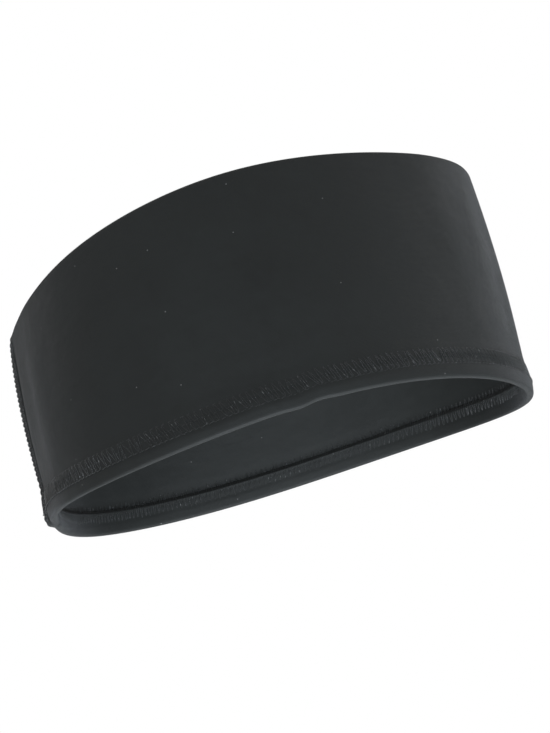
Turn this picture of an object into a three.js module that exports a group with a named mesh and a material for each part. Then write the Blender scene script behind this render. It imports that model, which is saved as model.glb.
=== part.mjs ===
// Sports headband. One panel of stretch knit is folded double along its top edge. Its two ends
// meet at the back in a flat seam, and its lower edge is turned up inside and cover-stitched.
// The band has the shape it takes on a head. Millimetres, +Z up as worn, +X towards the forehead.
// The origin is on the plane that the rim rests on, at the middle of the band's box.

import * as THREE from 'three';

// Plan of the band at its rim and at its top edge: an egg that narrows towards the forehead.
// Square makes its corners fuller, and forward moves it towards the forehead.
const rimPlan = { length: 182, width: 170, taper: 0.12, square: 0.015, forward: 0 };
const topPlan = { length: 181, width: 147, taper: 0.2, square: 0, forward: 5 };

// Height of the band above the plane that it rests on.
const frontHeight = 80.5;
const sideHeight = 84;
const backHeight = 72.5;
const wallBow = 1.5;

// The knit, and the air that is left between two plies and between any two pieces.
const plyThickness = 0.55;
const clearance = 0.3;

// The turned hem.
const hemDepth = 9;
const hemBulge = 1.3;
const bulgeMargin = 1.2;
const bulgeFade = 5;
const rimFacets = 5;
const foldFacets = 4;

// Hem stitching: three needle lines, with one cover thread outside and one looper thread inside.
const hemStitchBase = 5;
const hemStitchWidth = 5.4;

// Back seam stitching: the same five threads, standing upright.
const seamStitchWidth = 5;
const seamRimMargin = 2.2;
const seamTopMargin = 1.6;

// Threads. A needle line is narrow, and a cover or looper thread is a thin flat zigzag.
const needleWidth = 0.5;
const needleDepth = 0.4;
const coverDepth = 0.3;

// Steps round the loop, and up the wall between the hem and the top fold. No step is shorter than
// this share of a full one.
const loopSteps = 45;
const wallSteps = 3;
const shortestStep = 0.25;

// Half of the turn, in radians, over which the wall's direction is measured.
const directionTurn = 0.001;

// Sizes that follow from the ones above.
const plyPitch = plyThickness + clearance;
const doubleWall = plyPitch + plyThickness;
const hemThickness = 3 * plyPitch + plyThickness;
const rimTurnRadius = 1.5 * plyPitch;
const rimCentre = rimTurnRadius + plyThickness / 2;
const topCentre = sideHeight - doubleWall / 2;
const bulgeTop = Math.max(hemDepth, hemStitchBase + hemStitchWidth) + bulgeMargin;
const bulgeEnd = bulgeTop + bulgeFade;
const foldZone = topCentre - seamTopMargin;
const seamReach = needleWidth / 2 + seamStitchWidth / 2;
const hemStitchLow = hemStitchBase - needleWidth / 2;
const hemStitchHigh = hemStitchBase + hemStitchWidth + needleWidth / 2;

// How far the hem threads stand out to pass over the seam threads.
const seamThreadStack = 2 * clearance + coverDepth + needleDepth;
const liftRamp = 3;

// Point on a plan, for an angle that is 0 at the forehead and pi at the nape.
function planPoint(plan, angle) {
  const fullness = 1 + plan.square * (1 - Math.cos(4 * angle));
  const narrowing = 1 - plan.taper * Math.cos(angle);
  const x = plan.length / 2 * Math.cos(angle) * fullness + plan.forward;
  const y = plan.width / 2 * Math.sin(angle) * narrowing * fullness;
  return new THREE.Vector2(x, y);
}

// Height of the top edge: a smooth wave through the front, side and back heights.
function topHeight(angle) {
  const ends = (frontHeight + backHeight) / 2;
  const tilt = (frontHeight - backHeight) / 2;
  return (ends + sideHeight) / 2 + tilt * Math.cos(angle) + (ends - sideHeight) / 2 * Math.cos(2 * angle);
}

// Turns a height on the side wall into the height at an angle. The hem and the fold keep their size.
function wallHeight(z, angle) {
  const share = THREE.MathUtils.clamp((z - bulgeEnd) / (foldZone - bulgeEnd), 0, 1);
  return z + share * (topHeight(angle) - sideHeight);
}

// Point of the wall at an angle and height, before any offset.
function wallPoint(angle, z) {
  const share = z / topHeight(angle);
  return planPoint(rimPlan, angle).lerp(planPoint(topPlan, angle), share);
}

// Puts a point on the band: out is its distance outside the knit's outer face, z its height there.
// The bow is a parabola that is highest half way up, and the bulge fades out above the hem.
function onBand(angle, out, z) {
  const height = wallHeight(z, angle);
  const before = wallPoint(angle - directionTurn, height);
  const along = wallPoint(angle + directionTurn, height).sub(before).normalize();
  const share = height / topHeight(angle);
  const bow = wallBow * 4 * share * (1 - share);
  const bulge = hemBulge * THREE.MathUtils.clamp((bulgeEnd - z) / bulgeFade, 0, 1);
  const offset = out + bow + bulge;
  const foot = wallPoint(angle, height);
  return new THREE.Vector3(foot.x + along.y * offset, foot.y - along.x * offset, height);
}

// Angle, measured from the nape, that is so many millimetres round the rim from the seam.
function seamAngle(distance) {
  return distance / (rimPlan.width / 2 * (1 + rimPlan.taper));
}

// Angles from one to another, with the band's own steps in between.
function anglesBetween(from, to) {
  const step = 2 * Math.PI / loopSteps;
  const inner = [];
  for (let k = 1; k < loopSteps; k += 1) {
    const angle = k * step;
    if (angle > from + step * shortestStep && angle < to - step * shortestStep) {
      inner.push(angle);
    }
  }
  return [from, ...inner, to];
}

// Angles for a piece that runs all the way round, from one side of the seam to the other, with a
// step at each edge of the seam's threads and one where a hem thread begins to rise over them.
function loopAngles(endGap) {
  const start = seamAngle(endGap / 2);
  const edge = seamAngle(seamReach + clearance);
  const ramp = seamAngle(seamReach + clearance + liftRamp);
  const round = anglesBetween(ramp, 2 * Math.PI - ramp);
  return [start, edge, ...round, 2 * Math.PI - edge, 2 * Math.PI - start];
}

// How far a hem thread rises at a distance from the seam, given as an angle from the nape.
function seamLift(angle) {
  const fromSeam = Math.min(angle, 2 * Math.PI - angle);
  const edge = seamAngle(seamReach + clearance);
  const ramp = seamAngle(liftRamp);
  return seamThreadStack * THREE.MathUtils.clamp((edge + ramp - fromSeam) / ramp, 0, 1);
}

// The two sides of an open path of [out, z] points when it gets a thickness, mitred at each bend.
function ribbonSides(path, thickness) {
  const points = path.map(([out, z]) => new THREE.Vector2(out, z));
  const last = points.length - 1;
  const headings = points.slice(1).map((point, i) => point.clone().sub(points[i]).normalize());
  const left = [];
  const right = [];
  points.forEach((point, i) => {
    const arriving = headings[Math.max(i - 1, 0)];
    const leaving = headings[Math.min(i, last - 1)];
    const across = new THREE.Vector2(-arriving.y - leaving.y, arriving.x + leaving.x);
    across.multiplyScalar(thickness / 2 / (1 + arriving.dot(leaving)));
    left.push(point.clone().add(across));
    right.push(point.clone().sub(across));
  });
  return { left, right };
}

// Part of a circle as [out, z] points, without its first and last point.
function arc(out, z, radius, from, to, facets) {
  const points = [];
  for (let k = 1; k < facets; k += 1) {
    const angle = from + (to - from) * k / facets;
    points.push([out + radius * Math.cos(angle), z + radius * Math.sin(angle)]);
  }
  return points;
}

// Heights of the wall's steps, from the hem up to the top fold.
function wallLevels(from, to) {
  const levels = [from];
  for (const z of [bulgeTop, bulgeEnd]) {
    if (z > from) {
      levels.push(z);
    }
  }
  for (let k = 1; k < wallSteps; k += 1) {
    levels.push(bulgeEnd + (foldZone - bulgeEnd) * k / wallSteps);
  }
  levels.push(foldZone);
  if (to > foldZone) {
    levels.push(to);
  }
  return levels;
}

// Carries a ribbon in section round the band, through angles measured from the nape, and closes
// both of its ends. Lift gives what is added to the section's out at an angle.
function bentRibbon(path, thickness, angles, lift = () => 0) {
  const { left, right } = ribbonSides(path, thickness);
  const outline = [...left, ...right.reverse()];
  const around = outline.length;
  const vertices = [];
  for (const fromNape of angles) {
    for (const point of outline) {
      const place = onBand(Math.PI - fromNape, point.x + lift(fromNape), point.y);
      vertices.push(place.x, place.y, place.z);
    }
  }
  const triangles = [];
  const lastRing = (angles.length - 1) * around;
  for (let ring = 0; ring < lastRing; ring += around) {
    for (let j = 0; j < around; j += 1) {
      const here = ring + j;
      const beside = ring + (j + 1) % around;
      triangles.push(here, here + around, beside, beside, here + around, beside + around);
    }
  }
  for (let j = 0; j < path.length - 1; j += 1) {
    const corners = [j, j + 1, around - 2 - j, around - 1 - j];
    const [a, b, c, d] = corners;
    triangles.push(a, b, c, a, c, d);
    const [e, f, g, h] = corners.map((corner) => corner + lastRing);
    triangles.push(e, g, f, e, h, g);
  }
  const geometry = new THREE.BufferGeometry();
  geometry.setAttribute('position', new THREE.Float32BufferAttribute(vertices, 3));
  geometry.setIndex(triangles);
  geometry.computeVertexNormals();
  return geometry;
}

const knit = { color: 0x2b2d2e, roughness: 0.6, metalness: 0 };
const thread = { color: 0x3a3c3e, roughness: 0.5, metalness: 0 };

function piece(name, geometry, finish) {
  const mesh = new THREE.Mesh(geometry, new THREE.MeshStandardMaterial(finish));
  mesh.name = name;
  return mesh;
}

// The panel's path in section: up from the inner raw edge of the hem, round the rim, up the outer
// wall, over the top fold, down the inner wall, round inside the rim and up to the other raw edge.
function panelPath() {
  const outer = -plyThickness / 2;
  const inner = outer - plyPitch;
  const turnedInner = inner - plyPitch;
  const turnedOuter = turnedInner - plyPitch;
  const rimMiddle = (outer + turnedOuter) / 2;
  const topMiddle = (outer + inner) / 2;
  const levels = wallLevels(rimCentre, topCentre);
  return [
    [turnedOuter, hemDepth],
    [turnedOuter, rimCentre],
    ...arc(rimMiddle, rimCentre, rimTurnRadius, Math.PI, 2 * Math.PI, rimFacets),
    ...levels.map((z) => [outer, z]),
    ...arc(topMiddle, topCentre, plyPitch / 2, 0, Math.PI, foldFacets),
    ...levels.reverse().map((z) => [inner, z]),
    ...arc(rimMiddle, rimCentre, plyPitch / 2, 0, -Math.PI, foldFacets),
    [turnedInner, rimCentre],
    [turnedInner, hemDepth],
  ];
}

function bandPanel() {
  return piece('band_panel', bentRibbon(panelPath(), plyThickness, loopAngles(clearance)), knit);
}

// Outside of everything sewn on the outer face, for a cover thread and then for a needle line.
const coverOut = clearance + coverDepth / 2;
const needleOut = 2 * clearance + coverDepth + needleDepth / 2;

function hemNeedleThread(name, z) {
  const path = [[needleOut, z - needleWidth / 2], [needleOut, z + needleWidth / 2]];
  return piece(name, bentRibbon(path, needleDepth, loopAngles(clearance), seamLift), thread);
}

function hemCoverThread() {
  const path = [[coverOut, hemStitchLow], [coverOut, hemStitchHigh]];
  return piece('hem_cover_thread', bentRibbon(path, coverDepth, loopAngles(clearance), seamLift), thread);
}

// The looper thread lies on the turned hem, steps over its raw edge and ends on the inner wall.
function hemLooperThread() {
  const onHem = -hemThickness - clearance - coverDepth / 2;
  const onWall = -doubleWall - clearance - coverDepth / 2;
  const overEdge = hemDepth + clearance + coverDepth / 2;
  const high = Math.max(hemStitchHigh, overEdge + coverDepth);
  const path = [[onHem, hemStitchLow], [onHem, overEdge], [onWall, overEdge], [onWall, high]];
  return piece('hem_looper_thread', bentRibbon(path, coverDepth, loopAngles(clearance)), thread);
}

// An upright thread of the back seam, from one distance round the band to another.
function seamThread(name, out, depth, from, to, low) {
  const levels = wallLevels(low, foldZone);
  const path = levels.map((z) => [out, z]);
  const steps = [from, -clearance / 2, clearance / 2, to];
  const inside = steps.filter((distance) => distance >= from && distance <= to);
  return piece(name, bentRibbon(path, depth, inside.map(seamAngle)), thread);
}

function seamNeedleThread(name, place) {
  return seamThread(name, needleOut, needleDepth, place - needleWidth / 2, place + needleWidth / 2, seamRimMargin);
}

function seamCoverThread() {
  return seamThread('seam_cover_thread', coverOut, coverDepth, -seamReach, seamReach, seamRimMargin);
}

// Inside, the seam's looper thread shows from above the hem's own looper thread to the fold.
function seamLooperThread() {
  const out = -doubleWall - clearance - coverDepth / 2;
  return seamThread('seam_looper_thread', out, coverDepth, -seamReach, seamReach, bulgeTop);
}

const band = new THREE.Group();
band.add(
  bandPanel(),
  hemNeedleThread('hem_needle_thread_lower', hemStitchBase),
  hemNeedleThread('hem_needle_thread_middle', hemStitchBase + hemStitchWidth / 2),
  hemNeedleThread('hem_needle_thread_upper', hemStitchBase + hemStitchWidth),
  hemCoverThread(),
  hemLooperThread(),
  seamNeedleThread('seam_needle_thread_left', -seamStitchWidth / 2),
  seamNeedleThread('seam_needle_thread_middle', 0),
  seamNeedleThread('seam_needle_thread_right', seamStitchWidth / 2),
  seamCoverThread(),
  seamLooperThread(),
);

// The band's box is centred on the origin, and the flat underside of its rim is at zero.
const box = new THREE.Box3().setFromObject(band);
const middle = box.getCenter(new THREE.Vector3());
band.position.set(-middle.x, -middle.y, -box.min.z);

export default band;
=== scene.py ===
import math

import bpy
import numpy as np
from mathutils import Matrix, Vector


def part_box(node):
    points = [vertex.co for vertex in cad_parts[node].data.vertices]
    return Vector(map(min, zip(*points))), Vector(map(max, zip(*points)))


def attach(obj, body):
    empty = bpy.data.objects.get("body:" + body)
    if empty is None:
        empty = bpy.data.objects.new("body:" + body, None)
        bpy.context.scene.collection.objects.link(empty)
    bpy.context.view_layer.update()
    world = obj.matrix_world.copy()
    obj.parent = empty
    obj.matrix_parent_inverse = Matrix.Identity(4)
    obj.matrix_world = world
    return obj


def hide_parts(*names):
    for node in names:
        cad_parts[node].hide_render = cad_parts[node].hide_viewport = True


# A black stretch-knit sports headband, in the shape that it takes on a head.
# Shapes are worked out in millimetres and go into the meshes in metres.
mm = 0.001
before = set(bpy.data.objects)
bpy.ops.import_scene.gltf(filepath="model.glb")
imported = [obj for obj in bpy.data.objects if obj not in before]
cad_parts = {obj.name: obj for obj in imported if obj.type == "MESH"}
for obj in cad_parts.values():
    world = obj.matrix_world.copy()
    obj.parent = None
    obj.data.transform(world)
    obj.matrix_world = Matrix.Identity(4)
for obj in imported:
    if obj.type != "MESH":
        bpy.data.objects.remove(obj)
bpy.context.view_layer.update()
print("frame loaded")

# The CAD form that part.mjs gives the band, in mm.
bandShape = {
    "rim": {"length": 182.0, "width": 170.0, "taper": 0.12, "square": 0.015, "forward": 0.0},
    "top": {"length": 181.0, "width": 147.0, "taper": 0.2, "square": 0.0, "forward": 5.0},
    "frontHeight": 80.5,
    "sideHeight": 84.0,
    "backHeight": 72.5,
    "bow": 1.5,
    "cadBulge": 1.3,
    "hemBulge": 1.1,
    "bulgeTop": 3.0,
    "bulgeEnd": 15.5,
    "hemZone": 18.2,  # below it heights follow the rim, above it they stretch up to the top edge
    "foldZone": 81.7,
    "rimGap": 0.3,  # height of the rim's underside above the knit's own zero
    "wall": 1.23,  # thickness of the doubled cloth
}

# A short dip and rise in the front of the rim, in mm.
rimKink = {
    "place": -140.0,
    "width": 5.5,
    "depth": 0.4,
    "lift": 2.3,  # brings the top of the curve x exp(-x * x) to about 1
}

# How the worn loop strays from that even form: (waves round the loop, cosine, sine) in mm.
wornShape = {
    "rimOut": [(1, 0.65, 0.35), (2, -3.05, 3.05), (3, 0.45, 0.3), (4, -0.2, 0.5), (5, 0.3, 0)],
    "topOut": [(1, -0.25, -0.2), (2, -1.75, -0.4), (3, -0.2, 0.6), (4, -0.55, -0.3), (5, 0, 0.95)],
    "rimRise": [(1, -0.2, -0.6), (2, -1.55, -0.15), (3, -0.95, 0.65), (4, 0.15, 0.1), (5, 0, -0.2)],
    "topRise": [(2, -1.7, -0.4), (3, 0.95, 0), (4, 0, -0.25), (5, 0.1, -0.45)],
}

# The back seam stands proud on both faces, with a groove beside it and a lump at the hem.
seamRelief = {
    "ridge": 0.45,
    "twist": 0.28,  # how steeply the strip turns towards one side
    "twistReach": 4.5,
    "topDip": 1.4,  # the top edge dips at the seam
    "topDipReach": 8.0,
    "halfWidth": 3.1,
    "groove": 0.15,
    "grooveAt": 4.1,
    "grooveWidth": 1.1,
    "lump": 0.25,
    "lumpReach": 4.6,
    "lumpTop": 12.5,
    "lumpFade": 0.9,
}

# The seam draws the cloth to an upright corner: beside it the wall falls back this far, in mm.
seamCorner = {"fallBack": 0.9, "within": 5.0, "softness": 1.5, "reach": 24.0}

# Soft upright folds: place round from the seam, width, depth, lean (all mm), middle and spread
# (shares of the height). Forehead is half way round.
softFolds = [
    (-12.0, 6.5, 0.6, 9.0, 0.42, 0.36),
    (-26.0, 7.0, -0.45, 14.0, 0.5, 0.4),
    (-40.0, 8.0, 0.4, 10.0, 0.45, 0.4),
    (-212.0, 9.0, 0.4, 8.0, 0.6, 0.4),
    (-232.0, 7.0, 0.3, -12.0, 0.62, 0.3),
    (-246.0, 7.0, -0.3, -14.0, 0.45, 0.34),
    (-258.0, 7.0, 0.25, -10.0, 0.4, 0.3),
    (-140.0, 16.0, 0.4, 20.0, 0.5, 0.5),
    (60.0, 9.0, 0.5, -12.0, 0.5, 0.4),
    (180.0, 14.0, 0.5, 12.0, 0.5, 0.4),
]


def planCurve(angle, plan):
    # An egg: x is a cosine, y a sine that narrows towards the forehead, both fuller at the corners.
    fullness = 1 + plan["square"] * (1 - np.cos(4 * angle))
    x = plan["length"] / 2 * np.cos(angle) * fullness + plan["forward"]
    y = plan["width"] / 2 * np.sin(angle) * (1 - plan["taper"] * np.cos(angle)) * fullness
    return np.stack([x, y], -1)


def waves(angle, terms):
    # A sum of cosines and sines, each with its whole number of waves round the loop.
    return sum(a * np.cos(k * angle) + b * np.sin(k * angle) for k, a, b in terms)


def evenTop(angle):
    # The top edge's height: one wave and a double wave through the front, side and back heights.
    ends = (bandShape["frontHeight"] + bandShape["backHeight"]) / 2
    tilt = (bandShape["frontHeight"] - bandShape["backHeight"]) / 2
    side = bandShape["sideHeight"]
    return (ends + side) / 2 + tilt * np.cos(angle) + (ends - side) / 2 * np.cos(2 * angle)


smallTurn = 0.001  # in radians, to either side, for the direction along the wall
outwardStep = 0.5  # in mm, for the direction away from the cloth

# Distance round the rim for every turn from the seam, clockwise from above.
turnTable = np.linspace(-0.4, 2 * np.pi + 0.4, 6001)
rimTrack = planCurve(np.pi - turnTable, bandShape["rim"])
rimSteps = np.linalg.norm(np.diff(rimTrack, axis=0), axis=1)
distanceTable = np.concatenate([[0], np.cumsum(rimSteps)])
distanceTable -= np.interp(0, turnTable, distanceTable)
loopLength = float(np.interp(2 * np.pi, turnTable, distanceTable))
lowestRim = float(waves(turnTable, wornShape["rimRise"]).min()) + bandShape["rimGap"]
rimLift = -lowestRim  # the lowest point of the rim is on the floor

# The frame centres the whole band on its own box, which moves the plan along X.
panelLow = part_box("band_panel")[0]
planShift = panelLow[0] / mm + bandShape["rim"]["length"] / 2 + bandShape["cadBulge"]

# The camera comes first: a little below the band, with a roll.
cameraSetup = {
    "distance": 700.0,  # from the point that it looks at, in mm
    "sideways": 3.8,
    "height": 33.9,
    "azimuth": -9.84,
    "elevation": -10.39,
    "roll": -16.78,
    "lens": 96.68,
}


def makeCamera(setup):
    # Back, right and up from the two angles, then right and up turned by the roll.
    a, e, r = (math.radians(setup[k]) for k in ("azimuth", "elevation", "roll"))
    back = Vector((math.sin(a) * math.cos(e), -math.cos(a) * math.cos(e), math.sin(e)))
    right = Vector((math.cos(a), math.sin(a), 0))
    up = back.cross(right)
    rolledRight = math.cos(r) * right + math.sin(r) * up
    rolledUp = math.cos(r) * up - math.sin(r) * right
    middle = Vector((planShift, 0, setup["height"] + rimLift))
    place = middle + setup["sideways"] * right + setup["distance"] * back
    data = bpy.data.cameras.new("camera")
    data.lens = setup["lens"]
    data.sensor_width = 36
    data.clip_start = 0.01
    data.clip_end = 50
    camera = bpy.data.objects.new("camera", data)
    turned = Matrix((rolledRight, rolledUp, back)).transposed().to_4x4()
    camera.matrix_world = Matrix.Translation(place * mm) @ turned
    bpy.context.scene.collection.objects.link(camera)
    bpy.context.scene.camera = camera


makeCamera(cameraSetup)
print("camera placed")


# The band as a surface.
def fromSeam(distance):
    # The shorter way to the seam, signed: positive clockwise of it.
    return (distance + loopLength / 2) % loopLength - loopLength / 2


def foldRelief(distance, share):
    # Each soft fold is a bell across its width and up its height, leaning as it rises. The corner
    # at the seam is a rounded peak, which a wide bell blends back into the wall.
    d = fromSeam(distance)
    c = seamCorner
    away = np.sqrt(d * d + c["softness"] ** 2) - c["softness"]
    total = -c["fallBack"] * (1 - np.exp(-away / c["within"])) * np.exp(-((d / c["reach"]) ** 2))
    for place, width, depth, lean, middle, spread in softFolds:
        across = fromSeam(distance - place - lean * (share - middle))
        total = total + depth * np.exp(-((across / width) ** 2) - ((share - middle) / spread) ** 2)
    return total


def seamLump(distance, z, climb):
    # Ridge and lump are flat-topped bells across the seam; the grooves are two narrow bells. All
    # of it fades out towards the top fold.
    d = fromSeam(distance)
    s = seamRelief
    ridge = s["ridge"] * np.exp(-((d / s["halfWidth"]) ** 4))
    groove = s["groove"] * np.exp(-(((np.abs(d) - s["grooveAt"]) / s["grooveWidth"]) ** 2))
    lump = s["lump"] * np.exp(-((d / s["lumpReach"]) ** 4))
    lump = lump / (1 + np.exp((z - s["lumpTop"]) / s["lumpFade"]))
    return (ridge - groove) * (1 - climb**5) + lump


def seamTwist(distance):
    # The way across the seam times a bell, so the strip tilts and the wall beside it doesn't.
    d = fromSeam(distance)
    return seamRelief["twist"] * d * np.exp(-((d / seamRelief["twistReach"]) ** 2))


def bandPoint(distance, out, z):
    # A point of the band from its distance round the rim, its place out from the outer face and
    # its height up the cloth. The wall is a straight blend from the rim's plan to the top's, and
    # everything else moves along the wall's own normal.
    distance, out, z = np.broadcast_arrays(distance, out, z)
    angle = np.pi - np.interp(distance, distanceTable, turnTable)
    acrossKink = fromSeam(distance - rimKink["place"]) / rimKink["width"]
    rimRise = rimLift + waves(angle, wornShape["rimRise"])
    rimRise = rimRise - rimKink["depth"] * rimKink["lift"] * acrossKink * np.exp(-(acrossKink**2))
    topRise = rimLift + waves(angle, wornShape["topRise"]) + evenTop(angle) - bandShape["sideHeight"]
    climb = (z - bandShape["hemZone"]) / (bandShape["foldZone"] - bandShape["hemZone"])
    climb = np.clip(climb, 0, 1)
    dip = seamRelief["topDip"] * np.exp(-((fromSeam(distance) / seamRelief["topDipReach"]) ** 2))
    height = z + rimRise * (1 - climb) + (topRise - dip) * climb
    share = (height - rimRise) / (bandShape["sideHeight"] + topRise - rimRise)

    def wallPlan(a):
        low, high = planCurve(a, bandShape["rim"]), planCurve(a, bandShape["top"])
        return low + (high - low) * share[..., None]

    foot = wallPlan(angle)
    along = wallPlan(angle + smallTurn) - wallPlan(angle - smallTurn)
    along /= np.linalg.norm(along, axis=-1, keepdims=True)
    worn = waves(angle, wornShape["rimOut"]) * (1 - share) + waves(angle, wornShape["topOut"]) * share
    bow = bandShape["bow"] * 4 * share * (1 - share)
    fade = np.clip((bandShape["bulgeEnd"] - z) / (bandShape["bulgeEnd"] - bandShape["bulgeTop"]), 0, 1)
    bulge = bandShape["hemBulge"] * fade * fade * (3 - 2 * fade)
    face = np.clip(1 + 2 * out / bandShape["wall"], -1, 1)  # 1 on the outer face, -1 inside
    soft = foldRelief(distance, share) + seamTwist(distance) * (1 - climb**5)
    offset = out + worn + bow + bulge + soft + seamLump(distance, z, climb) * face
    x = foot[..., 0] + along[..., 1] * offset + planShift
    y = foot[..., 1] - along[..., 0] * offset
    return np.stack([x, y, height], -1)


# Meshes from grids of points.
def gridFaces(rows, columns, loopRows):
    # Quads between neighbouring rows and columns; the columns always close into a ring.
    r, c = np.meshgrid(np.arange(rows if loopRows else rows - 1), np.arange(columns), indexing="ij")
    nextRow, nextColumn = (r + 1) % rows, (c + 1) % columns
    corners = [(r, c), (nextRow, c), (nextRow, nextColumn), (r, nextColumn)]
    faces = np.stack([i * columns + j for i, j in corners], -1).reshape(-1, 4)
    uvCorners = [(r, c), (r + 1, c), (r + 1, c + 1), (r, c + 1)]
    uvFaces = np.stack([i * (columns + 1) + j for i, j in uvCorners], -1).reshape(-1, 4)
    return faces, uvFaces


def meshFromRings(name, points, uv, loopRows=False):
    # points is rows x ring x 3 in mm, uv is rows (one more when looped) x ring + 1 x 2 in mm.
    # Open ends are closed with quads across the ring, and the faces point outwards.
    rows, ring = points.shape[:2]
    faces, uvFaces = gridFaces(rows, ring, loopRows)
    if not loopRows:
        half = np.arange(ring // 2 - 1)
        cap = np.stack([half, half + 1, ring - 2 - half, ring - 1 - half], -1)
        lastCap = cap[:, ::-1] + (rows - 1) * ring
        uvLastCap = cap[:, ::-1] + (rows - 1) * (ring + 1)
        faces = np.concatenate([faces, cap, lastCap])
        uvFaces = np.concatenate([uvFaces, cap, uvLastCap])
    flat = points.reshape(-1, 3)
    a, b, c, d = (flat[faces[:, k]] for k in range(4))
    volume = (a * np.cross(b, c)).sum() + (a * np.cross(c, d)).sum()
    if volume < 0:
        faces, uvFaces = faces[:, ::-1], uvFaces[:, ::-1]
    mesh = bpy.data.meshes.new(name)
    mesh.vertices.add(rows * ring)
    mesh.vertices.foreach_set("co", (flat * mm).astype(np.float32).ravel())
    mesh.loops.add(faces.size)
    mesh.loops.foreach_set("vertex_index", faces.astype(np.int32).ravel())
    mesh.polygons.add(len(faces))
    mesh.polygons.foreach_set("loop_start", np.arange(0, faces.size, 4, dtype=np.int32))
    layer = mesh.uv_layers.new(name="cloth")
    cornerUv = uv.reshape(-1, 2)[uvFaces.ravel()] * mm
    layer.uv.foreach_set("vector", cornerUv.astype(np.float32).ravel())
    mesh.update(calc_edges=True)
    piece = bpy.data.objects.new(name, mesh)
    bpy.context.scene.collection.objects.link(piece)
    return piece


def finishPiece(piece, material, node):
    piece.data.materials.append(material)
    piece.data.shade_smooth()
    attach(piece, "root")
    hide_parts(node)
    return piece


# Node groups that both finishes share.
def addNode(tree, kind, inputs=None, **settings):
    node = tree.nodes.new(kind)
    for key, value in settings.items():
        setattr(node, key, value)
    for key, value in (inputs or {}).items():
        socket = node.inputs[key]
        if isinstance(value, bpy.types.NodeSocket):
            tree.links.new(value, socket)
        else:
            socket.default_value = value
    return node


def calc(tree, operation, *values, clamp=False):
    inputs = dict(enumerate(values))
    return addNode(tree, "ShaderNodeMath", inputs, operation=operation, use_clamp=clamp).outputs[0]


def newGroup(name, inputs, outputs):
    tree = bpy.data.node_groups.new(name, "ShaderNodeTree")
    for label, kind, value in inputs:
        socket = tree.interface.new_socket(label, in_out="INPUT", socket_type="NodeSocket" + kind)
        if value is not None:
            socket.default_value = value
    for label, kind in outputs:
        tree.interface.new_socket(label, in_out="OUTPUT", socket_type="NodeSocket" + kind)
    given = tree.nodes.new("NodeGroupInput").outputs
    result = tree.nodes.new("NodeGroupOutput").inputs
    return tree, given, result


# Of one column of the knit: slope of its rows, and where a leg's middle lies and how fast it falls.
loopShape = {"slope": 1.3, "legMiddle": 0.25, "legFall": 3.2}


def makeKnitLoops():
    # Columns of V-shaped loops: inside a column the rows rise towards its middle line, and each
    # leg is a rounded ridge that falls away at the column's edges.
    inputs = [("Place", "Vector", None), ("Wale", "Float", 0.0005), ("Course", "Float", 0.0004)]
    tree, given, result = newGroup("knitLoops", inputs, [("Height", "Float"), ("PaintedLoopShade", "Float")])
    parts = addNode(tree, "ShaderNodeSeparateXYZ", {0: given["Place"]}).outputs
    wale = calc(tree, "DIVIDE", parts[0], given["Wale"])
    course = calc(tree, "DIVIDE", parts[1], given["Course"])
    fromMiddle = calc(tree, "ABSOLUTE", calc(tree, "SUBTRACT", calc(tree, "FRACT", wale), 0.5))
    slant = calc(tree, "SUBTRACT", course, calc(tree, "MULTIPLY", fromMiddle, loopShape["slope"]))
    leg = calc(tree, "SINE", calc(tree, "MULTIPLY", slant, 2 * math.pi))
    leg = calc(tree, "MULTIPLY_ADD", leg, 0.5, 0.5)
    side = calc(tree, "ABSOLUTE", calc(tree, "SUBTRACT", fromMiddle, loopShape["legMiddle"]))
    rounding = calc(tree, "SUBTRACT", 1.0, calc(tree, "MULTIPLY", side, loopShape["legFall"]))
    height = calc(tree, "MULTIPLY", leg, rounding)
    tree.links.new(height, result["Height"])
    # The second output is painted shade: paler on the legs' ridges and darker in the hollows between
    # them.
    tree.links.new(calc(tree, "MULTIPLY_ADD", height, 0.5, 0.5), result["PaintedLoopShade"])
    return tree


# Soft mottling: how much finer the second noise is, its weight, and the values that are spread.
mottleShape = {"finer": 6.0, "broad": 0.6, "fine": 0.4, "from": 0.35, "to": 0.65}


def makeSoftMottle():
    # Two sizes of soft noise added and spread between a low and a high value.
    inputs = [
        ("Place", "Vector", None), ("Scale", "Float", 20.0),
        ("Low", "Float", 0.0), ("High", "Float", 1.0),
    ]
    tree, given, result = newGroup("softMottle", inputs, [("Value", "Float")])
    place, scale = given["Place"], given["Scale"]
    finer = calc(tree, "MULTIPLY", scale, mottleShape["finer"])
    broad = addNode(tree, "ShaderNodeTexNoise", {"Vector": place, "Scale": scale, "Detail": 2.0})
    fine = addNode(tree, "ShaderNodeTexNoise", {"Vector": place, "Scale": finer, "Detail": 3.0})
    broadPart = calc(tree, "MULTIPLY", broad.outputs[0], mottleShape["broad"])
    finePart = calc(tree, "MULTIPLY", fine.outputs[0], mottleShape["fine"])
    spread = addNode(tree, "ShaderNodeMapRange", {
        "Value": calc(tree, "ADD", broadPart, finePart),
        "From Min": mottleShape["from"],
        "From Max": mottleShape["to"],
        "To Min": given["Low"],
        "To Max": given["High"],
    })
    tree.links.new(spread.outputs[0], result["Value"])
    return tree


def makeLintSpecks():
    # One speck in a few of the cells of a cell pattern, stretched into a short fibre.
    inputs = [
        ("Place", "Vector", None), ("Scale", "Float", 60.0),
        ("Size", "Float", 0.03), ("Share", "Float", 0.2),
    ]
    tree, given, result = newGroup("lintSpecks", inputs, [("Mask", "Float")])
    spots = {"Vector": given["Place"], "Scale": given["Scale"]}
    cells = addNode(tree, "ShaderNodeTexVoronoi", spots, voronoi_dimensions="2D")
    kept = addNode(tree, "ShaderNodeSeparateColor", {0: cells.outputs["Color"]}).outputs[0]
    chosen = calc(tree, "LESS_THAN", kept, given["Share"])
    near = calc(tree, "LESS_THAN", cells.outputs["Distance"], given["Size"])
    tree.links.new(calc(tree, "MULTIPLY", chosen, near), result["Mask"])
    return tree


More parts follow.
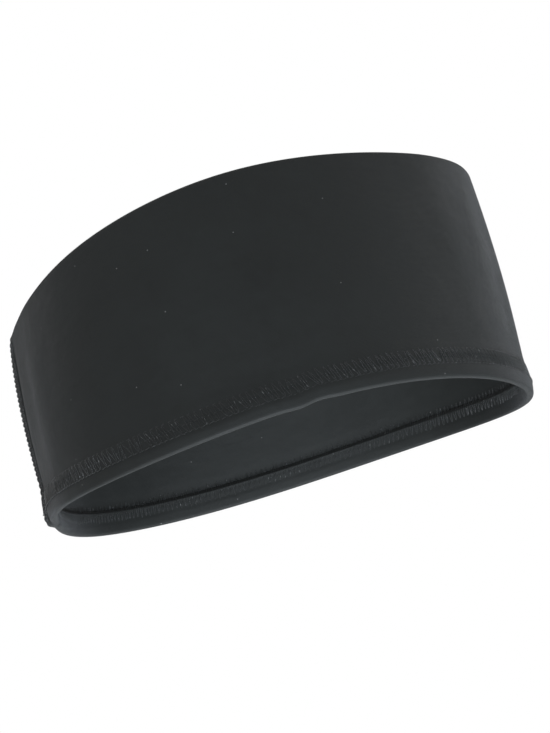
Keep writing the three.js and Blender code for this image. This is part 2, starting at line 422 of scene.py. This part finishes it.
def makeYarnTwist():
    # Slanting strands round a thread: a sine of the way along plus the way round.
    inputs = [("Place", "Vector", None), ("Turn", "Float", 0.0006), ("Round", "Float", 0.001)]
    tree, given, result = newGroup("yarnTwist", inputs, [("Height", "Float")])
    parts = addNode(tree, "ShaderNodeSeparateXYZ", {0: given["Place"]}).outputs
    along = calc(tree, "DIVIDE", parts[0], given["Turn"])
    around = calc(tree, "DIVIDE", parts[1], given["Round"])
    wave = calc(tree, "SINE", calc(tree, "MULTIPLY", calc(tree, "ADD", along, around), 2 * math.pi))
    tree.links.new(calc(tree, "MULTIPLY_ADD", wave, 0.5, 0.5), result["Height"])
    return tree


knitLoops = makeKnitLoops()
softMottle = makeSoftMottle()
lintSpecks = makeLintSpecks()
yarnTwist = makeYarnTwist()


def useGroup(tree, group, inputs):
    node = addNode(tree, "ShaderNodeGroup", node_tree=group)
    for key, value in inputs.items():
        if isinstance(value, bpy.types.NodeSocket):
            tree.links.new(value, node.inputs[key])
        else:
            node.inputs[key].default_value = value
    return node.outputs


knitLook = {
    "dark": (0.0104, 0.0120, 0.0118, 1),
    "pale": (0.0192, 0.0222, 0.0218, 1),
    "lint": (0.22, 0.22, 0.22, 1),
    "roughness": 0.58,
    "specular": 0.35,
    "sheen": 0.12,
    "sheenRoughness": 0.32,
    "wale": 0.00056,
    "course": 0.00044,
    "knitDepth": 0.00006,
    "creaseDepth": 0.0005,
    "creaseScale": 19.0,
    "creaseStretch": (0.65, 1, 1),  # round the loop, up, and unused
    "creaseStrength": 0.5,
    "knitStrength": 0.8,
    "mottleScale": 55.0,
    "roughSpread": 0.12,
    "lintScale": 70.0,
    "lintSize": 0.012,
    "lintShare": 0.35,
}

threadLook = {
    "dark": (0.0115, 0.013, 0.013, 1),
    "pale": (0.02, 0.0222, 0.0225, 1),
    # A painted highlight: the paler colour painted on the thread towards both ends of the loop.
    "paintedGlint": (0.072, 0.075, 0.075, 1),
    "paintedGlintFrom": 0.064,  # from the middle of the band, in metres
    "paintedGlintTo": 0.086,
    "gloss": 0.2,  # how much less rough the thread is there
    "fuzz": (0.14, 0.145, 0.145, 1),
    "roughness": 0.5,
    "specular": 0.5,
    "sheen": 0.5,
    "sheenRoughness": 0.25,
    "twist": 0.0007,
    "round": 0.001,
    "twistDepth": 0.00005,
    "twistStrength": 0.7,
    "mottleScale": 300.0,
    "roughSpread": 0.2,
    "speckScale": 620.0,
    "speckSize": 0.28,
    "speckShare": 0.07,
}

sheenTint = (0.85, 0.87, 0.92, 1)


def startMaterial(name, look):
    material = bpy.data.materials.new(name)
    material.use_nodes = True
    tree = material.node_tree
    tree.nodes.clear()
    shader = addNode(tree, "ShaderNodeBsdfPrincipled", {
        "Specular IOR Level": look["specular"],
        "Sheen Weight": look["sheen"],
        "Sheen Roughness": look["sheenRoughness"],
        "Sheen Tint": sheenTint,
    })
    surface = addNode(tree, "ShaderNodeOutputMaterial")
    tree.links.new(shader.outputs[0], surface.inputs[0])
    return material, tree, shader


def blendColour(tree, factor, first, second):
    inputs = {0: factor, 6: first, 7: second}
    return addNode(tree, "ShaderNodeMix", inputs, data_type="RGBA").outputs[2]


def makeKnitMaterial(look):
    material, tree, shader = startMaterial("stretchKnit", look)
    cloth = addNode(tree, "ShaderNodeUVMap", uv_map="cloth").outputs[0]
    place = addNode(tree, "ShaderNodeTexCoord").outputs["Object"]
    knit = {"Place": cloth, "Wale": look["wale"], "Course": look["course"]}
    loops = useGroup(tree, knitLoops, knit)
    mottle = useGroup(tree, softMottle, {"Place": place, "Scale": look["mottleScale"]})["Value"]
    lint = {"Scale": look["lintScale"], "Size": look["lintSize"], "Share": look["lintShare"]}
    specks = useGroup(tree, lintSpecks, {"Place": cloth, **lint})["Mask"]
    # The tone is the soft mottle times the loops' painted shade, which paints the hollows between the
    # knit's legs darker.
    mottleAndShade = calc(tree, "MULTIPLY_ADD", mottle, 0.6, 0.4)
    mottleAndShade = calc(tree, "MULTIPLY", mottleAndShade, loops["PaintedLoopShade"], clamp=True)
    yarn = blendColour(tree, mottleAndShade, look["dark"], look["pale"])
    tree.links.new(blendColour(tree, specks, yarn, look["lint"]), shader.inputs["Base Color"])
    spread = look["roughSpread"]
    rough = calc(tree, "MULTIPLY_ADD", mottle, spread, look["roughness"] - spread / 2)
    tree.links.new(rough, shader.inputs["Roughness"])
    stretch = {0: cloth, 1: look["creaseStretch"]}
    stretched = addNode(tree, "ShaderNodeVectorMath", stretch, operation="MULTIPLY").outputs[0]
    creases = useGroup(tree, softMottle, {"Place": stretched, "Scale": look["creaseScale"]})["Value"]
    broad = addNode(tree, "ShaderNodeBump", {
        "Height": creases, "Distance": look["creaseDepth"], "Strength": look["creaseStrength"],
    })
    fine = addNode(tree, "ShaderNodeBump", {
        "Height": loops["Height"], "Distance": look["knitDepth"],
        "Strength": look["knitStrength"], "Normal": broad.outputs[0],
    })
    tree.links.new(fine.outputs[0], shader.inputs["Normal"])
    return material


def makeThreadMaterial(look):
    material, tree, shader = startMaterial("sewingThread", look)
    cloth = addNode(tree, "ShaderNodeUVMap", uv_map="cloth").outputs[0]
    place = addNode(tree, "ShaderNodeTexCoord").outputs["Object"]
    strands = {"Place": cloth, "Turn": look["twist"], "Round": look["round"]}
    twist = useGroup(tree, yarnTwist, strands)["Height"]
    mottle = useGroup(tree, softMottle, {"Place": place, "Scale": look["mottleScale"]})["Value"]
    # The tone is the strands' twist, painted darker in the grooves between them as painted shade, plus
    # a soft mottle.
    mottleAndShade = calc(tree, "MULTIPLY_ADD", twist, 0.5, calc(tree, "MULTIPLY", mottle, 0.5), clamp=True)
    colour = blendColour(tree, mottleAndShade, look["dark"], look["pale"])
    # Towards both ends of the loop, where it bends tightly, the thread is painted paler in patches: a
    # painted highlight standing in for the glints of side light there. It is also less rough there.
    across = addNode(tree, "ShaderNodeSeparateXYZ", {0: place}).outputs[0]
    paintedGlintZone = addNode(tree, "ShaderNodeMapRange", {
        "Value": calc(tree, "ABSOLUTE", across),
        "From Min": look["paintedGlintFrom"], "From Max": look["paintedGlintTo"],
    })
    patchy = calc(tree, "MULTIPLY_ADD", mottle, 0.7, 0.3)
    paintedGlint = calc(tree, "MULTIPLY", paintedGlintZone.outputs[0], patchy, clamp=True)
    colour = blendColour(tree, paintedGlint, colour, look["paintedGlint"])
    fuzz = {"Scale": look["speckScale"], "Size": look["speckSize"], "Share": look["speckShare"]}
    specks = useGroup(tree, lintSpecks, {"Place": cloth, **fuzz})["Mask"]
    tree.links.new(blendColour(tree, specks, colour, look["fuzz"]), shader.inputs["Base Color"])
    spread = look["roughSpread"]
    rough = calc(tree, "MULTIPLY_ADD", mottle, spread, look["roughness"] - spread / 2)
    rough = calc(tree, "MULTIPLY_ADD", paintedGlintZone.outputs[0], -look["gloss"], rough)
    tree.links.new(rough, shader.inputs["Roughness"])
    bump = addNode(tree, "ShaderNodeBump", {
        "Height": twist, "Distance": look["twistDepth"], "Strength": look["twistStrength"],
    })
    tree.links.new(bump.outputs[0], shader.inputs["Normal"])
    return material


knitMaterial = makeKnitMaterial(knitLook)
threadMaterial = makeThreadMaterial(threadLook)
print("finishes made")

# The knit panel.
panelSetup = {
    "ply": 0.58,
    "pitch": 0.65,  # from one ply to the next
    "hemDepth": 8.7,
    "stagger": 0.7,  # how much higher the hidden one of the two raw edges ends
    "rimPower": 0.72,
    "puff": 0.28,  # swelling of the hem between the rim and its stitches
    "puffHeight": 3.6,
    "puffSpread": 2.1,
    "pinch": 0.08,  # how far each needle line draws the plies together
    "pinchSpread": 0.6,
    "pinchEase": 0.75,  # how much weaker it is where the loop turns tightly
    "rib": 0.05,  # between two needle lines
    "ribSpread": 0.8,
    "wander": (0.35, 0.83, 1.7, 0.217),  # uneven sewing: strength, pace, and a drift of that pace
    "flare": 0.05,  # how far the raw edges stand off the wall
    "flareHeight": 2.0,
    "flareWander": 0.4,
    "edgeSoftness": 0.15,
    "innerEdge": 0.7,  # below the raw edge, where the hidden ply's close rows begin
    "closeRowsTo": 14.5,
    "innerCloseRowsTo": 15.0,
    "stations": 455,
    "seamCrowding": 2.5,
    "crowdingReach": 9.0,
    "endGap": 0.02,
    "cutLength": 500.0,  # round the loop before it is stretched over a head
}

# How many rows each stretch of the section has.
panelRows = {
    "turned": 12, "rimFold": 11, "hem": 25, "wall": 17, "topFold": 5, "innerHem": 8,
    "innerWall": 14, "behindHem": 5, "innerFold": 3, "hidden": 7,
}

stitchSetup = {
    "pitch": 2.05,
    "hemBase": 5.0,
    "hemWidth": 5.4,
    "seamWidth": 5.0,
    "seamBottom": 2.2,
    "seamTop": 1.6,
    "needleRadius": 0.13,
    "coverRadius": 0.15,
    "coverSink": 0.45,  # how deep the turns of the cover thread lie, in its own radius
    "coverLean": 1.1,  # in stitches, from the lower needle line to the upper one
    "uneven": 0.2,  # how far each turn strays, as a normal spread
    "looperLean": 0.3,
    "looperWidth": 6.4,
    "looperRadius": 0.11,
    "needleDip": 0.3,
    "needleRise": (0.58, 0.36, 0.36),  # lower, middle and upper line, up from the bottom of the dip
    "seamRise": 0.6,
    "sides": 6,
    "samples": {"hemCover": 10, "seamCover": 12, "needle": 8, "looper": 12},  # to a stitch
    "seamUneven": 1.5,  # how much less even the hem's stitches are near the seam
    "seamReach": 9.0,
    "strayAlong": 0.8,  # share of the straying that runs along the hem
    "coverSwell": 0.3,  # the cover thread's rise between its turns, in its own radius
    "bendRise": 0.75,  # and where the loop turns tightly
    "needleProud": (0.6, 0.55),  # how proud the needle threads stand, and how much more there
    "needleArch": 0.7,  # under 1 makes each needle stitch flatter on top
    "sway": 0.12,
    "looperSway": 0.1,
    "hemLooperSit": 0.3,  # how far off the cloth a thread's middle lies, in its own radius
    "seamLooperSit": 0.8,
    "seamCoverSit": 0.8,
}
hemLines = [stitchSetup["hemBase"] + stitchSetup["hemWidth"] * k / 2 for k in range(3)]
seamLines = [stitchSetup["seamWidth"] * (k / 2 - 0.5) for k in range(3)]


def ribbonSides(path, thickness):
    # Both faces of a cloth path in section: each point moved half a thickness across its own bend.
    heading = np.diff(path, axis=0)
    heading /= np.linalg.norm(heading, axis=1, keepdims=True)
    arriving = np.concatenate([heading[:1], heading])
    leaving = np.concatenate([heading, heading[-1:]])
    across = np.stack([-(arriving + leaving)[:, 1], (arriving + leaving)[:, 0]], -1)
    across *= (thickness / 2 / (1 + (arriving * leaving).sum(1)))[:, None]
    return path + across, path - across


def arcPoints(centre, radius, start, end, count, power=1.0):
    # Points along a circle without its two ends; a power under 1 makes its corners squarer.
    angle = np.linspace(start, end, count + 2)[1:-1]
    direction = np.stack([np.cos(angle), np.sin(angle)], -1)
    return np.array(centre) + radius * np.sign(direction) * np.abs(direction) ** power


def upright(out, levels):
    return np.stack([np.full(len(levels), out), levels], -1)


def panelSection(setup):
    # The cloth's path in section: a raw edge, round the rim, up the outer wall, over the top fold,
    # down the inner wall, round inside the rim and up to the other raw edge.
    ply, pitch, depth = setup["ply"], setup["pitch"], setup["hemDepth"]
    outs = [-ply / 2 - k * pitch for k in range(4)]
    rimCentre = bandShape["rimGap"] + 1.5 * pitch + ply / 2
    topCentre = bandShape["sideHeight"] - (pitch + ply) / 2
    rimMiddle, topMiddle = (outs[0] + outs[3]) / 2, (outs[0] + outs[1]) / 2
    fold, rows = bandShape["foldZone"], panelRows
    hem = np.linspace(rimCentre, setup["closeRowsTo"], rows["hem"])
    wall = np.linspace(setup["closeRowsTo"], fold, rows["wall"])[1:]
    innerHem = np.linspace(depth, setup["innerCloseRowsTo"], rows["innerHem"])
    innerWall = np.linspace(setup["innerCloseRowsTo"], fold, rows["innerWall"])[1:]
    behindHem = np.linspace(depth - setup["innerEdge"], rimCentre, rows["behindHem"])
    return np.concatenate([
        upright(outs[3], np.linspace(depth, rimCentre, rows["turned"])),
        arcPoints(
            (rimMiddle, rimCentre), 1.5 * pitch, math.pi, 2 * math.pi,
            rows["rimFold"], setup["rimPower"],
        ),
        upright(outs[0], np.concatenate([hem, wall, [topCentre]])),
        arcPoints((topMiddle, topCentre), pitch / 2, 0, math.pi, rows["topFold"]),
        upright(outs[1], np.concatenate([[topCentre], innerWall[::-1], innerHem[::-1], behindHem])),
        arcPoints((rimMiddle, rimCentre), pitch / 2, 0, -math.pi, rows["innerFold"]),
        upright(outs[2], np.linspace(rimCentre, depth + setup["stagger"], rows["hidden"])),
    ])


def tightBend(distance):
    # 1 where the loop turns tightly, at the seam and the forehead, and 0 half way between.
    return 0.5 + 0.5 * np.cos(4 * np.pi * distance / loopLength)


def hemDraw(distance, out, z, setup):
    # How far the hem's plies move out: the free hem swells, each needle line pinches, with a soft
    # rib between the lines, and the raw edges stand off the wall.
    stack = 3 * setup["pitch"] + setup["ply"]
    face = np.clip(1 + 2 * out / stack, -1, 1)  # 1 on the outer face, -1 on the inner one
    strength, pace, drift, slowPace = setup["wander"]
    uneven = 1 + strength * np.sin(distance * pace + drift * np.sin(distance * slowPace))
    swell = setup["puff"] * np.exp(-(((z - setup["puffHeight"]) / setup["puffSpread"]) ** 2))
    pinch = setup["pinch"] * uneven * (1 - setup["pinchEase"] * tightBend(distance))
    for line in hemLines:
        swell = swell - pinch * np.exp(-(((z - line) / setup["pinchSpread"]) ** 2))
    for low, high in zip(hemLines, hemLines[1:]):
        between = (z - (low + high) / 2) / setup["ribSpread"]
        swell = swell + setup["rib"] * np.exp(-(between**2))
    flareHeight, wander = setup["flareHeight"], setup["flareWander"]
    edge = np.clip((z - setup["hemDepth"] + flareHeight) / flareHeight, 0, 1) ** 2
    turned = (face < -0.02) & (z <= setup["hemDepth"] + setup["stagger"] + 0.01)  # with a margin
    flare = setup["flare"] * edge * (1 - wander + wander * uneven)
    return swell * face - np.where(turned, flare, 0)


def stationDistances(setup):
    # Distances round the loop, crowded together near the seam by a bell-shaped density.
    gap = setup["endGap"]
    fine = np.linspace(gap / 2, loopLength - gap / 2, 5000)
    crowding = np.exp(-((fromSeam(fine) / setup["crowdingReach"]) ** 2))
    total = np.cumsum(1 + setup["seamCrowding"] * crowding)
    return np.interp(np.linspace(total[0], total[-1], setup["stations"]), total, fine)


def makePanel(setup):
    # The section's outline carried round the loop from one side of the seam to the other.
    path = panelSection(setup)
    left, right = ribbonSides(path, setup["ply"])
    outline = np.concatenate([left, right[::-1]])
    distance = stationDistances(setup)[:, None]
    out, z = outline[None, :, 0], outline[None, :, 1]
    points = bandPoint(distance, out + hemDraw(distance, out, z, setup), z)
    run = np.concatenate([[0], np.cumsum(np.linalg.norm(np.diff(path, axis=0), axis=1))])
    acrossCloth = np.concatenate([run, run[::-1], run[:1]])
    uv = np.stack(np.broadcast_arrays(distance, acrossCloth[None, :]), -1)
    panel = meshFromRings("bandPanel", points, uv)
    clothRun = float(run[-1])
    print("panel:", 2 * len(panel.data.polygons), "triangles,", round(clothRun, 1), "mm of cloth")
    return panel, clothRun


bandPanel, clothAcross = makePanel(panelSetup)
finishPiece(bandPanel, knitMaterial, "band_panel")


# The sewing threads.
def threadTube(name, track, outward, radius, loopRows):
    # A tube of a few sides round a track, each ring turned so that one side faces outward.
    sides = stitchSetup["sides"]
    if loopRows:
        heading = np.roll(track, -1, axis=0) - np.roll(track, 1, axis=0)
    else:
        heading = np.gradient(track, axis=0)
    heading /= np.linalg.norm(heading, axis=1, keepdims=True)
    across = np.cross(heading, outward)
    across /= np.linalg.norm(across, axis=1, keepdims=True)
    facing = np.cross(across, heading)
    angle = 2 * np.pi * np.arange(sides) / sides
    cosine, sine = np.cos(angle)[None, :, None], np.sin(angle)[None, :, None]
    points = track[:, None] + radius * (cosine * facing[:, None] + sine * across[:, None])
    closed = np.concatenate([track, track[:1]]) if loopRows else track
    run = np.concatenate([[0], np.cumsum(np.linalg.norm(np.diff(closed, axis=0), axis=1))])
    around = np.arange(sides + 1) / sides
    uv = np.stack(np.broadcast_arrays(run[:, None], around[None, :]), -1)
    return meshFromRings(name, points, uv, loopRows)


def onCloth(distance, out, z, name, radius, loopRows):
    # A thread laid on the band: its track, and the outward direction at each of its points.
    track = bandPoint(distance, out, z)
    outward = bandPoint(distance, out + outwardStep, z) - track
    return threadTube(name, track, outward, radius, loopRows)


def fraction(count, samples):
    # Stitch number and place within the stitch, 0 to 1, for each sample of a row of stitches.
    steps = np.arange(count * samples) / samples
    return np.floor(steps), steps % 1


def legWave(share):
    # From 0 up to 1 and back to 0 along one stitch: a triangle with softened turns.
    return 0.5 - 0.5 * np.cos(2 * np.pi * share) * (1.08 - 0.08 * np.cos(4 * np.pi * share))


def needleArch(share, setup):
    # One arch to a stitch: half a sine wave, raised to a power.
    return np.abs(np.sin(np.pi * share)) ** setup["needleArch"]


def stitchEnds(uneven, stitch, share):
    # How far this stitch's lower and upper turn stray: the lower one belongs to the nearer stitch.
    lower = (stitch + (share > 0.5)).astype(int) % (uneven.shape[1] - 1)
    return uneven[0, lower], uneven[1, stitch.astype(int)]


hemStitches = round(loopLength / stitchSetup["pitch"])
hemPitch = loopLength / hemStitches


def outerFace(distance, z):
    return hemDraw(distance, 0 * z, z, panelSetup)


def innerFace(distance, z):
    # The inner face is the turned ply below the raw edge and the inner wall above it.
    stack = 3 * panelSetup["pitch"] + panelSetup["ply"]
    low = hemDraw(distance, -stack + 0 * z, z, panelSetup) - stack
    high = hemDraw(distance, -bandShape["wall"] + 0 * z, z, panelSetup) - bandShape["wall"]
    above = z - panelSetup["hemDepth"]
    soft, stagger = panelSetup["edgeSoftness"], panelSetup["stagger"]
    step = 0.5 / (1 + np.exp(-above / soft)) + 0.5 / (1 + np.exp((stagger - above) / soft))
    return low * (1 - step) + high * step


def makeHemThreads(setup):
    made = []
    draws = np.random.default_rng(11).normal(0, setup["uneven"], (3, 2, hemStitches + 1))
    samples, coverRadius = setup["samples"], setup["coverRadius"]
    stitchPlace = fromSeam(np.arange(hemStitches + 1) * hemPitch)
    draws = draws * (1 + setup["seamUneven"] * np.exp(-((stitchPlace / setup["seamReach"]) ** 2)))
    stitch, share = fraction(hemStitches, samples["hemCover"])
    reach = legWave(share)
    low, high = stitchEnds(draws[0], stitch, share)
    back, on = stitchEnds(draws[1], stitch, share)
    z = setup["hemBase"] + low + (setup["hemWidth"] + high - low) * reach
    lean = setup["coverLean"] * reach + setup["strayAlong"] * (back + (on - back) * reach)
    distance = (stitch + share + lean) * hemPitch
    raised = setup["coverSwell"] * np.sin(2 * np.pi * share) ** 2 - setup["coverSink"]
    raised = raised + setup["bendRise"] * tightBend(distance)
    out = outerFace(distance, z) + coverRadius * raised
    piece = onCloth(distance, out, z, "hemCoverThread", coverRadius, True)
    made.append(("hem_cover_thread", piece))
    stitch, share = fraction(hemStitches, samples["needle"])
    distance = (stitch + share) * hemPitch
    least, more = setup["needleProud"]
    rise = (least + more * tightBend(distance)) * needleArch(share, setup)
    for line, word, height in zip(hemLines, ("Lower", "Middle", "Upper"), setup["needleRise"]):
        z = line + setup["sway"] * np.sin(2 * np.pi * share)
        out = outerFace(distance, z) - setup["needleDip"] + height * rise
        name = "hemNeedleThread" + word
        piece = onCloth(distance, out, z, name, setup["needleRadius"], True)
        made.append(("hem_needle_thread_" + word.lower(), piece))
    stitch, share = fraction(hemStitches, samples["looper"])
    low, high = stitchEnds(draws[2], stitch, share)
    z = setup["hemBase"] + low + (setup["looperWidth"] + high - low) * legWave(share)
    distance = (stitch + share + (setup["looperLean"] + high) * legWave(share)) * hemPitch
    out = innerFace(distance, z) - setup["looperRadius"] * setup["hemLooperSit"]
    piece = onCloth(distance, out, z, "hemLooperThread", setup["looperRadius"], True)
    made.append(("hem_looper_thread", piece))
    return made


def makeSeamThreads(setup):
    made = []
    samples = setup["samples"]
    top, bottom = bandShape["sideHeight"] - setup["seamTop"], setup["seamBottom"]
    squeezed = (top - bottom) * bandShape["backHeight"] / bandShape["sideHeight"]
    count = round(squeezed / setup["pitch"])
    pitch = (top - bottom) / count
    stitch, share = fraction(count, samples["seamCover"])
    z = bottom + (stitch + share + setup["sway"] * np.sin(2 * np.pi * share)) * pitch
    distance = setup["seamWidth"] * (legWave(share) - 0.5)
    out = outerFace(distance, z) + setup["coverRadius"] * setup["seamCoverSit"]
    piece = onCloth(distance, out, z, "seamCoverThread", setup["coverRadius"], False)
    made.append(("seam_cover_thread", piece))
    stitch, share = fraction(count, samples["needle"])
    z = bottom + (stitch + share) * pitch
    rise = needleArch(share, setup)
    for line, word in zip(seamLines, ("Left", "Middle", "Right")):
        distance = line + setup["sway"] * np.sin(2 * np.pi * share)
        out = outerFace(distance, z) - setup["needleDip"] + setup["seamRise"] * rise
        name = "seamNeedleThread" + word
        piece = onCloth(distance, out, z, name, setup["needleRadius"], False)
        made.append(("seam_needle_thread_" + word.lower(), piece))
    stitch, share = fraction(count, samples["looper"])
    z = bottom + (stitch + share - setup["looperSway"] * np.sin(2 * np.pi * share)) * pitch
    distance = setup["seamWidth"] * (legWave(share) - 0.5)
    out = innerFace(distance, z) - setup["looperRadius"] * setup["seamLooperSit"]
    piece = onCloth(distance, out, z, "seamLooperThread", setup["looperRadius"], False)
    made.append(("seam_looper_thread", piece))
    return made


for node, piece in makeHemThreads(stitchSetup) + makeSeamThreads(stitchSetup):
    finishPiece(piece, threadMaterial, node)
    print("thread:", piece.name, 2 * len(piece.data.polygons), "triangles")

# Studio: a pale floor that is seen only from above, and soft light.
studioSetup = {
    "floorSize": 16.0,
    "floorColour": (0.1, 0.1, 0.1, 1),
    "floorGlow": 0.9,
    "ambient": 0.36,
    "backdrop": 1.0,
    "aim": (0, 0, 0.045),  # where the lights point
}

# Soft panels of light: place (m), width and height (m), power (W) and colour.
lightPanels = {
    "sideRight": ((0.85, 0.05, 0.35), (0.6, 0.6), 0.9, (0.95, 0.98, 1.0)),
    "sideLeft": ((-0.7, -0.35, -0.35), (0.4, 0.4), 0.5, (1.0, 1.0, 0.97)),
    "below": ((0.05, -0.15, -0.75), (0.6, 0.4), 7.2, (0.88, 0.94, 1.0)),
    "frontBelow": ((-0.06, -0.77, -0.4), (0.4, 0.3), 3.8, (0.84, 0.92, 1.0)),
    "above": ((-0.1, 0.1, 0.9), (0.8, 0.8), 2.0, (1.0, 1.0, 1.0)),
}


def makeFloor(setup):
    half = setup["floorSize"] / 2
    corners = np.array([(-half, -half, 0), (half, -half, 0), (half, half, 0), (-half, half, 0)])
    mesh = bpy.data.meshes.new("floor")
    mesh.from_pydata(corners.tolist(), [], [(0, 1, 2, 3)])
    floor = bpy.data.objects.new("floor", mesh)
    bpy.context.scene.collection.objects.link(floor)
    material = bpy.data.materials.new("paleFloor")
    material.use_nodes = True
    tree = material.node_tree
    tree.nodes.clear()
    matt = addNode(tree, "ShaderNodeBsdfDiffuse", {0: setup["floorColour"]})
    glow = addNode(tree, "ShaderNodeEmission", {0: (1, 1, 1, 1), 1: setup["floorGlow"]})
    pale = addNode(tree, "ShaderNodeAddShader")
    tree.links.new(matt.outputs[0], pale.inputs[0])
    tree.links.new(glow.outputs[0], pale.inputs[1])
    clear = addNode(tree, "ShaderNodeBsdfTransparent")
    seen = addNode(tree, "ShaderNodeLightPath").outputs["Is Camera Ray"]
    above = calc(tree, "SUBTRACT", 1.0, addNode(tree, "ShaderNodeNewGeometry").outputs["Backfacing"])
    mix = addNode(tree, "ShaderNodeMixShader", {0: calc(tree, "MULTIPLY", seen, above)})
    tree.links.new(clear.outputs[0], mix.inputs[1])
    tree.links.new(pale.outputs[0], mix.inputs[2])
    surface = addNode(tree, "ShaderNodeOutputMaterial")
    tree.links.new(mix.outputs[0], surface.inputs[0])
    mesh.materials.append(material)


def makeWorld(setup):
    # White where the camera looks straight at it, and a dimmer grey as light.
    world = bpy.data.worlds.new("studio")
    bpy.context.scene.world = world
    world.use_nodes = True
    tree = world.node_tree
    tree.nodes.clear()
    seen = addNode(tree, "ShaderNodeLightPath").outputs["Is Camera Ray"]
    levels = {0: seen, 2: setup["ambient"], 3: setup["backdrop"]}
    strength = addNode(tree, "ShaderNodeMix", levels, data_type="FLOAT")
    glow = addNode(tree, "ShaderNodeBackground", {0: (1, 1, 1, 1), 1: strength.outputs[0]})
    surface = addNode(tree, "ShaderNodeOutputWorld")
    tree.links.new(glow.outputs[0], surface.inputs[0])


def makeLights(panels, aimPlace):
    aim = Vector(aimPlace)
    for name, (place, size, power, colour) in panels.items():
        data = bpy.data.lights.new(name, "AREA")
        data.shape = "RECTANGLE"
        data.size, data.size_y = size
        data.energy = power
        data.color = colour
        light = bpy.data.objects.new(name, data)
        light.location = place
        light.rotation_euler = (aim - Vector(place)).to_track_quat("-Z", "Y").to_euler()
        light.visible_camera = False
        bpy.context.scene.collection.objects.link(light)


makeFloor(studioSetup)
makeWorld(studioSetup)
makeLights(lightPanels, studioSetup["aim"])
bpy.context.scene.view_settings.view_transform = "Standard"
print("studio lit")
